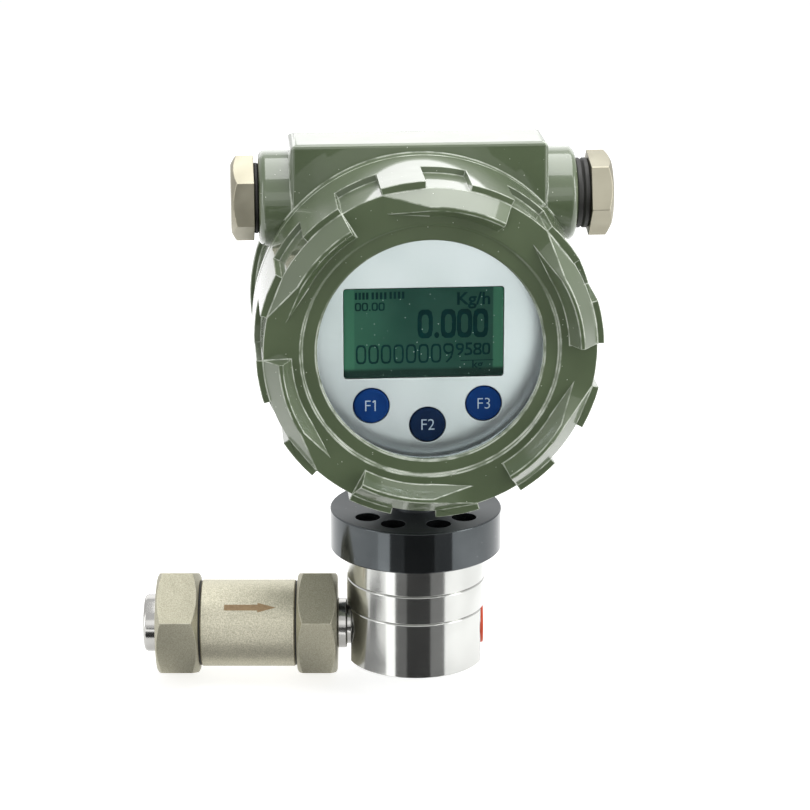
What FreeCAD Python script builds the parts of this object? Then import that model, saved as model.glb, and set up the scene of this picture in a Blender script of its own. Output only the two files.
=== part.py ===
import FreeCAD, Part
import math
import os

Vector = FreeCAD.Vector

# Micro gear flow meter: a stacked gear measuring body with an inlet strainer on its left port,
# and a cast display head on a short neck. Millimetres, +Z up, the display faces -Y.
# The origin is the centre of the base block's lower face.

# Measuring body: turned discs stacked on the vertical neck axis
body_dia = 50.0
base_height = 20.5
chamber_height = 10.5
top_height = 11.0
flange_dia = 61.6
flange_height = 15.0
edge_break = 0.4

# Ports across the base block, along X
port_height = 11.8
port_faces = 46.8
port_thread_dia = 9.7
port_thread_depth = 12.0
channel_dia = 5.0
channel_lap = 0.8

# Gear pair, side by side along Y
gear_teeth = 18
gear_module = 0.8
tooth_addendum = 0.7
tooth_dedendum = 1.0
tooth_backlash = 0.2
pressure_angle = 20.0
centre_allowance = 0.1
tip_gap = 0.3
face_gap = 0.1
shaft_dia = 3.0
shaft_seat = 4.0
shaft_top_seat = 1.5
bush_dia = 6.0
running_gap = 0.05
magnet_dia = 1.8
magnet_depth = 2.0
magnet_circle_dia = 9.0
magnet_count = 2

# Face seals between the discs
seal_circle_dia = 34.6
seal_width = 1.8
seal_depth = 1.2

# Socket screws sunk in the flange, in mirrored pairs each side of the front and the back
screw_dia = 4.0
screw_head_dia = 7.0
screw_head_height = 4.0
screw_key = 3.0
screw_key_depth = 2.0
screw_engagement = 11.0
screw_circle_dia = 42.6
screw_recess_dia = 8.8
screw_recess_depth = 9.0
screw_clearance = 0.2
screw_angles = (22.0, 53.5)

# Pickup over the gear magnets, neck and lock nut
pickup_dia = 10.0
pickup_length = 12.0
pickup_web = 3.0
neck_dia = 17.0
neck_bore = 9.0
neck_seat = 9.0
neck_gap = 10.0
neck_reach = 13.0
lock_nut_flats = 27.0
lock_nut_height = 5.0
thread_gap = 0.1

# Strainer, a chain of pieces outwards from the left port face
washer_thick = 1.5
washer_dia = 15.0
nipple_dia = 18.2
nipple_length = 3.5
nipple_thread_dia = 13.0
port_engagement = 10.0
hex_flats = 36.0
hex_face_inset = 0.9
hex_chamfer_angle = 30.0
hex_corner_lift = 20.0
outlet_hex_length = 14.5
inlet_hex_length = 15.4
strainer_seal_thick = 0.7
strainer_tube_dia = 31.5
strainer_tube_length = 34.1
strainer_bore = 21.0
spigot_dia = 26.0
spigot_length = 6.0
thread_end_room = 0.4
mesh_dia = 17.0
mesh_wall = 0.8
mesh_rim = 1.2
adapter_dia = 20.8
adapter_length = 4.8
adapter_round = 1.2
adapter_round_step = 0.36
adapter_thread_dia = 16.6
inlet_thread_dia = 11.4
inlet_thread_depth = 10.0
inlet_bore = 7.0

# Protective plug in the outlet port
plug_flange_dia = 14.1
plug_flange_thick = 1.1
plug_depth = 8.0
plug_wall = 1.2
plug_taper = 0.5

# Head casting: a barrel with a box on top, two cable bosses and a lower hub, swivelled on the neck
head_turn = 4.4
barrel_radius = 56.0
rim_radius = 58.0
rim_stand = 4.0
rim_length = 5.0
barrel_wall = 7.0
front_spigot_length = 16.0
rear_spigot_length = 9.0
spigot_wall = 3.0
partition_front = 16.0
partition_thick = 4.0
wire_hole_dia = 12.0
wire_hole_rise = 30.0
hub_dia = 34.0
hub_drop = 9.0
box_width = 88.4
box_depth = 34.0
box_rise = 61.0
box_front_round = 1.5
box_side_round = 2.5
box_back_round = 14.0
box_plan_round = 7.0
boss_dia = 33.0
boss_inset = 1.0
boss_rise = 39.2
boss_round = 2.5
entry_thread_dia = 18.5

# Screwed covers with gripping teeth and raised lugs
cover_gap = 0.5
thread_clearance = 0.3
skirt_wall = 5.7
front_cover_radius = 58.0
front_ring_length = 18.0
front_notch_length = 22.5
rear_cover_radius = 55.0
rear_ring_length = 6.5
rear_notch_length = 6.5
rear_cover_wall = 4.0
tooth_height = 2.3
tooth_count = 12
tooth_start = 1.7
lug_height = 6.6
lug_outer_slope = 5.0
lug_crest_width = 1.4
lug_inner_slope = 3.0
lug_crest_sweep = 29.0
lug_sweep = 45.0
lug_tail_inset = 6.7
face_sink = 0.9
face_sink_slope = 0.8
face_sink_inset = 12.2
cover_seal_width = 1.5
cover_seal_height = 1.8

# Window in the front cover
window_chamfer = 0.6
lip_thick = 3.0
gasket_thick = 0.8
glass_dia = 85.0
glass_lap = 4.8
glass_thick = 6.0
glass_gap = 0.2
retainer_land = 4.5
retainer_thick = 3.2
retainer_lap = 2.5
retainer_room = 1.0

# Display stack behind the window
plate_setback = 15.0
plate_dia = 86.0
plate_thick = 1.5
lcd_width = 54.0
lcd_height = 31.2
lcd_shift = -1.3
lcd_rise = 3.0
lcd_sink = 0.3
lcd_edge = 2.0
lcd_thick = 3.4
lcd_gap = 0.2
button_dia = 11.8
button_proud = 0.7
button_circle_dia = 58.4
button_spread = 40.7
button_gap = 0.3
button_flange_dia = 13.8
button_flange_thick = 1.0
button_rest_gap = 0.1
button_travel = 0.8
button_stem_dia = 5.0
board_dia = 84.0
board_thick = 1.6
plate_post_length = 4.6
base_post_length = 8.0
post_flats = 5.0
post_circle_dia = 78.0
post_angle = 20.0

# Terminal block behind the partition
terminal_width = 50.0
terminal_height = 18.0
terminal_depth = 14.0
terminal_ways = 5
terminal_screw_dia = 6.0
terminal_screw_depth = 4.0
terminal_drop = 12.0

# Cable entry plugs
entry_plug_flats = 26.0
entry_plug_length = 7.9
entry_plug_depth = 10.0
entry_plug_inset = 1.2
entry_ring_dia = 24.5
ring_corner_share = 0.25
left_ring_thick = 1.5
right_ring_thick = 2.5
right_ring_count = 2
left_plug_turn = 2.0
right_plug_turn = 18.0

# Levels and reaches that follow from the sizes above
chamber_level = base_height
top_level = chamber_level + chamber_height
flange_level = top_level + top_height
flange_top = flange_level + flange_height
hub_level = flange_top + neck_gap
head_level = hub_level + hub_drop + barrel_radius
port_face = port_faces / 2
pitch_radius = gear_module * gear_teeth / 2
tip_radius = pitch_radius + tooth_addendum
gear_offset = pitch_radius + centre_allowance / 2
chamber_radius = tip_radius + tip_gap
waist = math.sqrt(chamber_radius ** 2 - gear_offset ** 2)
riser_offset = waist + channel_dia / 2 - channel_lap
screw_seat = flange_top - screw_recess_depth
neck_foot = flange_top - neck_seat
box_half = box_depth / 2
rim_face = box_half + rim_stand
boss_reach = barrel_radius - boss_inset
front_cover_length = front_ring_length + front_notch_length
rear_cover_length = rear_ring_length + rear_notch_length
front_plane = rim_face + cover_gap + front_cover_length
rear_plane = rim_face + cover_gap + rear_cover_length
cavity_radius = barrel_radius - barrel_wall
front_spigot_radius = front_cover_radius - skirt_wall - thread_clearance
rear_spigot_radius = rear_cover_radius - skirt_wall - thread_clearance
window_dia = glass_dia - 2 * glass_lap
retainer_dia = glass_dia + 2 * retainer_land
retainer_bore = glass_dia - 2 * retainer_lap
plate_front = front_plane - plate_setback
plate_back = plate_front - plate_thick
display_board_front = plate_back - plate_post_length
main_board_front = partition_front + base_post_length + board_thick
outlet_hex_start = washer_thick + nipple_length
tube_start = outlet_hex_start + outlet_hex_length + strainer_seal_thick
tube_end = tube_start + strainer_tube_length
inlet_hex_start = tube_end + strainer_seal_thick
inlet_hex_end = inlet_hex_start + inlet_hex_length
nipple_engagement = outlet_hex_length - spigot_length - thread_end_room
adapter_engagement = inlet_hex_length - spigot_length - thread_end_room


# Building blocks

flat_to_corner = 30.0


def disc(radius, low, high, x=0.0, y=0.0):
    return Part.makeCylinder(radius, high - low, Vector(x, y, low))


def ring(outer, inner, low, high):
    return disc(outer, low, high).cut(disc(inner, low, high))


def face_of(points):
    return Part.Face(Part.makePolygon(list(points) + [points[0]]))


def turned(profile, start=0.0, sweep=360.0):
    """Solid turned about Z from (radius, height) corners."""
    face = face_of([polar(radius, start, height) for radius, height in profile])
    return face.revolve(Vector(0, 0, 0), Vector(0, 0, 1), sweep)


def polar(radius, angle, height):
    turn = math.radians(angle)
    return Vector(radius * math.cos(turn), radius * math.sin(turn), height)


def turned_disc(radius, low, high):
    """Disc with both rim edges broken."""
    inner = radius - edge_break
    profile = [(0, low), (inner, low), (radius, low + edge_break)]
    profile += [(radius, high - edge_break), (inner, high), (0, high)]
    return turned(profile)


def hexagon(flats, low, high, corner_angle=0.0):
    corners = [polar(flats / math.sqrt(3), corner_angle + 60 * k, low) for k in range(6)]
    return face_of(corners).extrude(Vector(0, 0, high - low))


def chamfered_hexagon(flats, low, high, corner_angle, inset, both_ends):
    """Hexagon with its corners turned down to a round end face."""
    corner = flats / math.sqrt(3)
    end = flats / 2 - inset
    drop = (corner - end) * math.tan(math.radians(hex_chamfer_angle))
    profile = [(0, low), (end, low), (corner, low + drop)] if both_ends else [(0, low), (corner, low)]
    profile += [(corner, high - drop), (end, high), (0, high)]
    return hexagon(flats, low, high, corner_angle).common(turned(profile))


def rounded_face(corners):
    """Flat face in XY from (x, y, corner radius) corners, listed anticlockwise."""
    edges = []
    points = [Vector(x, y, 0) for x, y, _ in corners]
    ends = []
    for i, (_, _, radius) in enumerate(corners):
        back = (points[i - 1] - points[i]).normalize()
        ahead = (points[(i + 1) % len(points)] - points[i]).normalize()
        half = back.getAngle(ahead) / 2
        reach = radius / math.tan(half)
        middle = points[i] + (back + ahead).normalize() * (radius / math.sin(half) - radius)
        ends.append((points[i] + back * reach, middle, points[i] + ahead * reach, radius))
    for i, (start, middle, stop, radius) in enumerate(ends):
        if radius > 0:
            edges.append(Part.Arc(start, middle, stop).toShape())
        following = ends[(i + 1) % len(ends)][0]
        edges.append(Part.LineSegment(stop, following).toShape())
    return Part.Face(Part.Wire(edges))


def rounded_block(width, height, low, high, radius, x=0.0, y=0.0):
    corners = [(-1, -1), (1, -1), (1, 1), (-1, 1)]
    face = rounded_face([(x + i * width / 2, y + j * height / 2, radius) for i, j in corners])
    block = face.extrude(Vector(0, 0, high - low))
    block.translate(Vector(0, 0, low))
    return block


def spun(shape, angle):
    copy = shape.copy()
    copy.rotate(Vector(0, 0, 0), Vector(0, 0, 1), angle)
    return copy


def moved(shape, x=0.0, y=0.0, z=0.0):
    copy = shape.copy()
    copy.translate(Vector(x, y, z))
    return copy


def in_head(shape):
    """From the head's own frame, x right, y up and z out of the display, to the part's frame."""
    copy = shape.copy()
    copy.rotate(Vector(0, 0, 0), Vector(1, 0, 0), 90)
    return spun(moved(copy, 0, 0, head_level), head_turn)


def facing_back(shape):
    copy = shape.copy()
    copy.rotate(Vector(0, 0, 0), Vector(0, 1, 0), 180)
    return copy


def towards_side(shape, side):
    """Turns an axis along +Z to point along -X (side -1) or +X (side 1), with +X turned to up or down."""
    copy = shape.copy()
    copy.rotate(Vector(0, 0, 0), Vector(0, 1, 0), 90 * side)
    return copy


def on_inlet(shape):
    return moved(towards_side(shape, -1), -port_face, 0, port_height)


def on_outlet(shape):
    return moved(towards_side(shape, 1), port_face, 0, port_height)


def screw_places():
    angles = [side * angle + turn for turn in (-90, 90) for angle in screw_angles for side in (-1, 1)]
    return [polar(screw_circle_dia / 2, angle, 0) for angle in angles]


def screw_holes(radius, low, high):
    return [disc(radius, low, high, place.x, place.y) for place in screw_places()]


# Measuring body

def base_block():
    block = turned_disc(body_dia / 2, 0, base_height)
    flats = Part.makeBox(port_faces, body_dia, base_height, Vector(-port_face, -body_dia / 2, 0))
    block = block.common(flats)
    cuts = screw_holes(screw_dia / 2 + thread_gap, base_height - screw_engagement, base_height)
    cuts.append(seal_ring(base_height - seal_depth))
    for side in (-1, 1):
        shaft = disc(shaft_dia / 2, base_height - shaft_seat, base_height, 0, side * gear_offset)
        riser = disc(channel_dia / 2, port_height, base_height, side * riser_offset, 0)
        port = disc(port_thread_dia / 2, port_face - port_thread_depth, port_face)
        gallery = disc(channel_dia / 2, riser_offset, port_face)
        mouth = moved(towards_side(port.fuse(gallery), side), 0, 0, port_height)
        cuts += [shaft, riser, mouth]
    return block.cut(cuts)


def seal_ring(low):
    middle = seal_circle_dia / 2
    return ring(middle + seal_width / 2, middle - seal_width / 2, low, low + seal_depth)


def lower_seal():
    return seal_ring(base_height - seal_depth)


def upper_seal():
    return seal_ring(top_level)


def chamber_plate():
    plate = turned_disc(body_dia / 2, chamber_level, top_level)
    cuts = screw_holes(screw_dia / 2 + screw_clearance, chamber_level, top_level)
    for side in (-1, 1):
        cuts.append(disc(chamber_radius, chamber_level, top_level, 0, side * gear_offset))
        cuts.append(disc(channel_dia / 2, chamber_level, top_level, side * riser_offset, 0))
    return plate.cut(cuts)


def top_plate():
    plate = turned_disc(body_dia / 2, top_level, flange_level)
    cuts = screw_holes(screw_dia / 2 + screw_clearance, top_level, flange_level)
    cuts.append(seal_ring(top_level))
    cuts.append(disc(pickup_dia / 2 + thread_gap, top_level + pickup_web, flange_level))
    for side in (-1, 1):
        cuts.append(disc(shaft_dia / 2, top_level, top_level + shaft_top_seat, 0, side * gear_offset))
    return plate.cut(cuts)


def gear_shaft(side):
    return disc(shaft_dia / 2, base_height - shaft_seat, top_level + shaft_top_seat, 0, side * gear_offset)


def tooth_half_angle(radius):
    """Half the angle that a tooth spans at a radius, with involute flanks above the base circle."""
    base = pitch_radius * math.cos(math.radians(pressure_angle))
    thickness = math.pi * gear_module / 2 - tooth_backlash
    turn = math.acos(min(1.0, base / radius))
    rest = math.radians(pressure_angle)
    return thickness / (2 * pitch_radius) + (math.tan(rest) - rest) - (math.tan(turn) - turn)


def gear_outline(first_tooth):
    root = pitch_radius - tooth_dedendum
    base = pitch_radius * math.cos(math.radians(pressure_angle))
    flank = [root, max(root, base), pitch_radius, tip_radius]
    points = []
    for tooth in range(gear_teeth):
        centre = first_tooth + 360.0 * tooth / gear_teeth
        lean = [math.degrees(tooth_half_angle(radius)) for radius in flank]
        points += [polar(radius, centre - turn, 0) for radius, turn in zip(flank, lean)]
        points += [polar(radius, centre + turn, 0) for radius, turn in reversed(list(zip(flank, lean)))]
    return points


def gear_blank(first_tooth, side):
    low = chamber_level + face_gap
    blank = face_of(gear_outline(first_tooth)).extrude(Vector(0, 0, chamber_height - 2 * face_gap))
    blank = blank.cut(disc(bush_dia / 2, 0, chamber_height))
    return moved(blank, 0, side * gear_offset, low)


def magnets():
    high = top_level - face_gap
    places = [polar(magnet_circle_dia / 2, 90 + 360.0 * k / magnet_count, 0) for k in range(magnet_count)]
    pins = [disc(magnet_dia / 2, high - magnet_depth, high, p.x, p.y - gear_offset) for p in places]
    return Part.makeCompound(pins)


def drive_gear():
    """A tooth of this gear points at the other gear's gap."""
    return gear_blank(90, -1).cut(magnets().Solids)


def driven_gear():
    return gear_blank(-90 + 180.0 / gear_teeth, 1)


def gear_bush(side):
    low = chamber_level + face_gap
    bush = ring(bush_dia / 2, shaft_dia / 2 + running_gap, low, top_level - face_gap)
    return moved(bush, 0, side * gear_offset, 0)


def stack_screws():
    head = disc(screw_head_dia / 2, screw_seat, screw_seat + screw_head_height)
    key_floor = screw_seat + screw_head_height - screw_key_depth
    head = head.cut(hexagon(screw_key, key_floor, screw_seat + screw_head_height))
    screw = head.fuse(disc(screw_dia / 2, base_height - screw_engagement, screw_seat))
    return Part.makeCompound([moved(screw, place.x, place.y) for place in screw_places()])


def pickup_sensor():
    low = top_level + pickup_web
    return turned_disc(pickup_dia / 2, low, low + pickup_length)


def mounting_flange():
    flange = turned_disc(flange_dia / 2, flange_level, flange_top)
    cuts = screw_holes(screw_dia / 2 + screw_clearance, flange_level, screw_seat)
    cuts += screw_holes(screw_recess_dia / 2, screw_seat, flange_top)
    cuts.append(disc(pickup_dia / 2 + thread_gap, flange_level, neck_foot))
    cuts.append(disc(neck_dia / 2 + thread_gap, neck_foot, flange_top))
    return flange.cut(cuts)


def neck_tube():
    return ring(neck_dia / 2, neck_bore / 2, neck_foot, hub_level + neck_reach)


def neck_lock_nut():
    low = hub_level - lock_nut_height
    nut = chamfered_hexagon(lock_nut_flats, low, hub_level, 0, edge_break, True)
    return nut.cut(disc(neck_dia / 2 + thread_gap, low, hub_level))


# Strainer and outlet plug

def nipple_washer():
    return on_inlet(ring(washer_dia / 2, port_thread_dia / 2 + thread_gap, 0, washer_thick))


def outlet_nipple():
    port_end = disc(port_thread_dia / 2 - thread_gap, -port_engagement, washer_thick)
    collar = turned_disc(nipple_dia / 2, washer_thick, outlet_hex_start)
    hex_end = disc(nipple_thread_dia / 2, outlet_hex_start, outlet_hex_start + nipple_engagement)
    bore = disc(channel_dia / 2, -port_engagement, outlet_hex_start + nipple_engagement)
    return on_inlet(port_end.fuse([collar, hex_end]).cut(bore))


def hex_end_piece(start, length, mouth_dia, mouth_at_start):
    """Hexagonal end with a socket for the tube's spigot and a threaded mouth on the other side."""
    body = chamfered_hexagon(hex_flats, start, start + length, hex_corner_lift - 90, hex_face_inset, True)
    socket_low = start + length - spigot_length if mouth_at_start else start
    socket = disc(spigot_dia / 2 + thread_gap, socket_low, socket_low + spigot_length)
    mouth = disc(mouth_dia / 2 + thread_gap, start, start + length)
    return on_inlet(body.cut([socket, mouth]))


def outlet_hex_piece():
    return hex_end_piece(outlet_hex_start, outlet_hex_length, nipple_thread_dia, True)


def inlet_hex_piece():
    return hex_end_piece(inlet_hex_start, inlet_hex_length, adapter_thread_dia, False)


def strainer_seals():
    outer = strainer_tube_dia / 2 - edge_break
    seals = [ring(outer, spigot_dia / 2 + thread_gap, low, low + strainer_seal_thick)
             for low in (tube_start - strainer_seal_thick, tube_end)]
    return on_inlet(Part.makeCompound(seals))


def strainer_tube():
    reach = spigot_length + strainer_seal_thick
    body = turned_disc(strainer_tube_dia / 2, tube_start, tube_end)
    spigots = disc(spigot_dia / 2, tube_start - reach, tube_end + reach)
    return on_inlet(body.fuse(spigots).cut(disc(strainer_bore / 2, tube_start - reach, tube_end + reach)))


def strainer_mesh():
    """Cup of sieve cloth: its rim fills the tube's bore at the inlet, its closed end is inside."""
    reach = spigot_length + strainer_seal_thick
    low = tube_start
    high = tube_end + reach
    outer = mesh_dia / 2
    rim = strainer_bore / 2 - thread_gap
    profile = [(0, low), (outer, low), (outer, high - mesh_rim), (rim, high - mesh_rim)]
    profile += [(rim, high), (outer - mesh_wall, high), (outer - mesh_wall, low + mesh_wall)]
    profile.append((0, low + mesh_wall))
    return on_inlet(turned(profile))


def inlet_adapter():
    """Bright threaded end of the strainer, with the inlet thread in its mouth."""
    end = inlet_hex_end + adapter_length
    outer = adapter_dia / 2
    root = adapter_thread_dia / 2
    low = inlet_hex_end - adapter_engagement
    profile = [(0, low), (root, low), (root, inlet_hex_end), (outer, inlet_hex_end)]
    profile += [(outer, end - adapter_round), (outer - adapter_round_step, end - adapter_round_step)]
    profile += [(outer - adapter_round, end), (0, end)]
    bore = disc(inlet_bore / 2, low, end)
    mouth = disc(inlet_thread_dia / 2, end - inlet_thread_depth, end)
    return on_inlet(turned(profile).cut([bore, mouth]))


def outlet_plug():
    """Soft push-in plug: a thin flange on the port face and a hollow tapered shank."""
    root = port_thread_dia / 2 - thread_gap
    tip = root - plug_taper
    profile = [(0, -plug_depth), (tip, -plug_depth), (root, 0), (plug_flange_dia / 2, 0)]
    profile += [(plug_flange_dia / 2, plug_flange_thick), (root - plug_wall, plug_flange_thick)]
    profile += [(tip - plug_wall, plug_wall - plug_depth), (0, plug_wall - plug_depth)]
    return on_outlet(turned(profile))


# Head casting and covers

def box_block():
    """Box on the barrel's top: its side, plan and front outlines meet in one block."""
    half = box_width / 2
    side = [(-box_half, 0, 0), (box_half, 0, 0), (box_half, box_rise, box_front_round)]
    side.append((-box_half, box_rise, box_back_round))
    plan = [(-half, -box_half, box_plan_round), (half, -box_half, box_plan_round)]
    plan += [(half, box_half, box_front_round), (-half, box_half, box_front_round)]
    front = [(-half, 0, 0), (half, 0, 0)]
    front += [(half, box_rise, box_side_round), (-half, box_rise, box_side_round)]
    side_solid = rounded_face(side).extrude(Vector(0, 0, box_width))
    side_solid.translate(Vector(0, 0, -half))
    side_solid.rotate(Vector(0, 0, 0), Vector(0, 1, 0), -90)
    plan_solid = rounded_face(plan).extrude(Vector(0, 0, box_rise))
    plan_solid.rotate(Vector(0, 0, 0), Vector(1, 0, 0), -90)
    plan_solid = plan_solid.mirror(Vector(0, 0, 0), Vector(0, 0, 1))
    front_solid = rounded_face(front).extrude(Vector(0, 0, box_depth))
    front_solid.translate(Vector(0, 0, -box_half))
    return side_solid.common(plan_solid).common(front_solid)


def cable_boss(side):
    root = box_width / 2 - boss_dia / 2
    radius = boss_dia / 2
    corners = [(0, root, 0), (radius, root, 0), (radius, boss_reach, boss_round), (0, boss_reach, 0)]
    half = rounded_face(corners)
    half.rotate(Vector(0, 0, 0), Vector(1, 0, 0), 90)
    boss = half.revolve(Vector(0, 0, 0), Vector(0, 0, 1))
    return moved(towards_side(boss, side), 0, boss_rise, 0)


def housing():
    drum = disc(barrel_radius, -rim_face, rim_face)
    rims = [disc(rim_radius, rim_face - rim_length, rim_face)]
    rims.append(disc(rim_radius, -rim_face, rim_length - rim_face))
    spigots = [disc(front_spigot_radius, rim_face, rim_face + front_spigot_length)]
    spigots.append(disc(rear_spigot_radius, -rim_face - rear_spigot_length, -rim_face))
    up = Vector(0, 1, 0)
    neck_low = Vector(0, -barrel_radius - hub_drop, 0)
    hub = Part.makeCylinder(hub_dia / 2, barrel_radius + hub_drop, neck_low, up)
    body = drum.fuse(rims + spigots + [hub, box_block(), cable_boss(-1), cable_boss(1)])
    front_end = rim_face + front_spigot_length
    rear_end = -rim_face - rear_spigot_length
    rear_bore = min(cavity_radius, rear_spigot_radius - spigot_wall)
    front_bore = min(cavity_radius, front_spigot_radius - spigot_wall)
    partition_rear = partition_front - partition_thick
    cuts = [disc(front_bore, partition_front, front_end), disc(rear_bore, rear_end, partition_rear)]
    cuts.append(disc(wire_hole_dia / 2, partition_rear, partition_front, 0, wire_hole_rise))
    entry = disc(entry_thread_dia / 2, -boss_reach, boss_reach)
    cuts.append(moved(towards_side(entry, 1), 0, boss_rise, 0))
    cuts.append(Part.makeCylinder(neck_dia / 2 + thread_gap, neck_reach, neck_low, up))
    cuts.append(Part.makeCylinder(neck_bore / 2, barrel_radius + hub_drop, neck_low, up))
    return in_head(body.cut(cuts).removeSplitter())


def lug(start, floor):
    """Raised grip: a crested arc that ends in a step, and a flat ramp down to the face at its other end."""
    crest_out = floor - lug_outer_slope
    crest_in = crest_out - lug_crest_width
    foot = crest_in - lug_inner_slope
    root = -face_sink
    profile = [(foot, root), (foot, 0), (crest_in, lug_height)]
    profile += [(crest_out, lug_height), (floor, 0), (floor, root)]
    arc = turned(profile, start, lug_crest_sweep)
    top = start + lug_crest_sweep
    end = start + lug_sweep
    a, b, c, d, e, f = [polar(radius, top, height) for radius, height in profile]
    tail_in, tail_out = polar(floor - lug_tail_inset, end, 0), polar(floor, end, 0)
    low_in, low_out = polar(floor - lug_tail_inset, end, root), polar(floor, end, root)
    sides = [(a, b, c, d, e, f), (b, tail_in, c), (c, tail_in, d), (d, tail_in, tail_out), (d, tail_out, e)]
    sides += [(e, tail_out, low_out), (e, low_out, f), (tail_in, low_in, low_out, tail_out)]
    sides += [(a, low_in, tail_in), (a, tail_in, b), (a, f, low_out, low_in)]
    ramp = Part.Solid(Part.Shell([face_of(corners) for corners in sides]))
    if ramp.Volume < 0:
        ramp.reverse()
    return arc.fuse(ramp)


def grip_cover(radius, notch_length, length):
    """Solid cover with its face at height 0: teeth round the rim, and a lug over every second tooth."""
    floor = radius - tooth_height
    pitch = 360.0 / tooth_count
    body = disc(radius, -length, 0)
    notch_profile = [(floor, -notch_length), (radius + tooth_height, -notch_length)]
    notch_profile += [(radius + tooth_height, tooth_height), (floor, tooth_height)]
    notch = turned(notch_profile, tooth_start + pitch / 2, pitch / 2)
    body = body.cut([spun(notch, pitch * k) for k in range(tooth_count)])
    raised = lug(tooth_start, floor)
    body = body.fuse([spun(raised, 2 * pitch * k) for k in range(tooth_count // 2)])
    sunk = floor - face_sink_inset
    sink = [(0, -face_sink), (sunk - face_sink_slope, -face_sink), (sunk, 0)]
    sink += [(sunk, lug_height), (0, lug_height)]
    return body.cut(turned(sink))


def front_cover():
    length = front_cover_length
    bore = front_spigot_radius + thread_clearance
    seal = bore + cover_seal_width
    seat = glass_dia / 2 + glass_gap
    recess = retainer_dia / 2 + thread_gap
    glass_back = -lip_thick - gasket_thick - glass_thick
    shelf = glass_back - retainer_thick - retainer_room
    inside = [(0, -length), (seal, -length), (seal, cover_seal_height - length)]
    inside += [(bore, cover_seal_height - length), (bore, shelf), (recess, shelf), (recess, glass_back)]
    inside += [(seat, glass_back), (seat, -lip_thick), (0, -lip_thick)]
    opening = window_dia / 2
    window = [(0, -length), (opening, -length), (opening, -face_sink - window_chamfer)]
    window += [(opening + window_chamfer, -face_sink), (opening + window_chamfer, 0), (0, 0)]
    cover = grip_cover(front_cover_radius, front_notch_length, length)
    return in_head(moved(cover.cut([turned(inside), turned(window)]), 0, 0, front_plane))


def rear_cover():
    length = rear_cover_length
    bore = rear_spigot_radius + thread_clearance
    seal = bore + cover_seal_width
    inside = [(0, -length), (seal, -length), (seal, cover_seal_height - length)]
    inside += [(bore, cover_seal_height - length), (bore, -rear_cover_wall), (0, -rear_cover_wall)]
    cover = grip_cover(rear_cover_radius, rear_notch_length, length).cut(turned(inside))
    return in_head(facing_back(moved(cover, 0, 0, rear_plane)))


def cover_seal(spigot):
    """Flat ring at the root of a spigot, just clear of the cover that turns round it."""
    high = cover_gap + cover_seal_height - thread_clearance
    return ring(spigot + cover_seal_width, spigot + running_gap, rim_face + face_gap, rim_face + high)


def front_cover_seal():
    return in_head(cover_seal(front_spigot_radius))


def rear_cover_seal():
    return in_head(facing_back(cover_seal(rear_spigot_radius)))


def glass_gasket():
    high = front_plane - lip_thick
    return in_head(ring(glass_dia / 2, window_dia / 2 + window_chamfer, high - gasket_thick, high))


def window_glass():
    high = front_plane - lip_thick - gasket_thick
    return in_head(disc(glass_dia / 2, high - glass_thick, high))


def glass_retaining_ring():
    high = front_plane - lip_thick - gasket_thick - glass_thick
    return in_head(ring(retainer_dia / 2, retainer_bore / 2, high - retainer_thick, high))


# Display stack and electronics

def button_places():
    return [polar(button_circle_dia / 2, turn - 90, 0) for turn in (-button_spread, 0, button_spread)]


def post_places():
    angles = [post_angle, 180 - post_angle, 180 + post_angle, -post_angle]
    return [polar(post_circle_dia / 2, angle, 0) for angle in angles]


def display_faceplate():
    plate = disc(plate_dia / 2, plate_back, plate_front)
    cuts = [rounded_block(lcd_width, lcd_height, plate_back, plate_front, lcd_edge / 2, lcd_shift, lcd_rise)]
    cuts += [disc(button_dia / 2 + button_gap, plate_back, plate_front, p.x, p.y) for p in button_places()]
    return in_head(plate.cut(cuts))


def lcd_panel():
    """Display glass standing in the plate's window, on a wider body behind the plate."""
    glass_front = plate_front - lcd_sink
    wide = lcd_width - 2 * lcd_gap
    high = lcd_height - 2 * lcd_gap
    glass = rounded_block(wide, high, plate_back, glass_front, lcd_edge / 2, lcd_shift, lcd_rise)
    wide = lcd_width + 2 * lcd_edge
    high = lcd_height + 2 * lcd_edge
    back = rounded_block(wide, high, plate_back - lcd_thick, plate_back, lcd_edge / 2, lcd_shift, lcd_rise)
    return in_head(glass.fuse(back))


def key_button(index):
    place = button_places()[index]
    flange_front = plate_back - button_rest_gap
    flange_back = flange_front - button_flange_thick
    stem_back = display_board_front + button_travel + button_rest_gap
    cap = turned_disc(button_dia / 2, flange_back, plate_front + button_proud)
    flange = disc(button_flange_dia / 2, flange_back, flange_front)
    stem = disc(button_stem_dia / 2, stem_back, flange_back)
    return in_head(moved(cap.fuse([flange, stem]), place.x, place.y, 0))


def display_board():
    return in_head(disc(board_dia / 2, display_board_front - board_thick, display_board_front))


def main_board():
    return in_head(disc(board_dia / 2, main_board_front - board_thick, main_board_front))


def hex_posts(low, high):
    posts = [moved(hexagon(post_flats, low, high), place.x, place.y, 0) for place in post_places()]
    return in_head(Part.makeCompound(posts))


def plate_posts():
    return hex_posts(display_board_front, plate_back)


def board_posts():
    return hex_posts(main_board_front, display_board_front - board_thick)


def base_posts():
    return hex_posts(partition_front, partition_front + base_post_length)


def terminal_block():
    """Row of screw terminals on the partition's rear face."""
    high = partition_front - partition_thick
    low = high - terminal_depth
    block = rounded_block(terminal_width, terminal_height, low, high, edge_break, 0, -terminal_drop)
    pitch = terminal_width / terminal_ways
    first = (pitch - terminal_width) / 2
    wells = [disc(terminal_screw_dia / 2, low, low + terminal_screw_depth, first + pitch * k, -terminal_drop)
             for k in range(terminal_ways)]
    return in_head(block.cut(wells))


# Cable entry plugs

def on_boss(shape, side):
    return spun(moved(towards_side(shape, side), 0, 0, head_level + boss_rise), head_turn)


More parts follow.
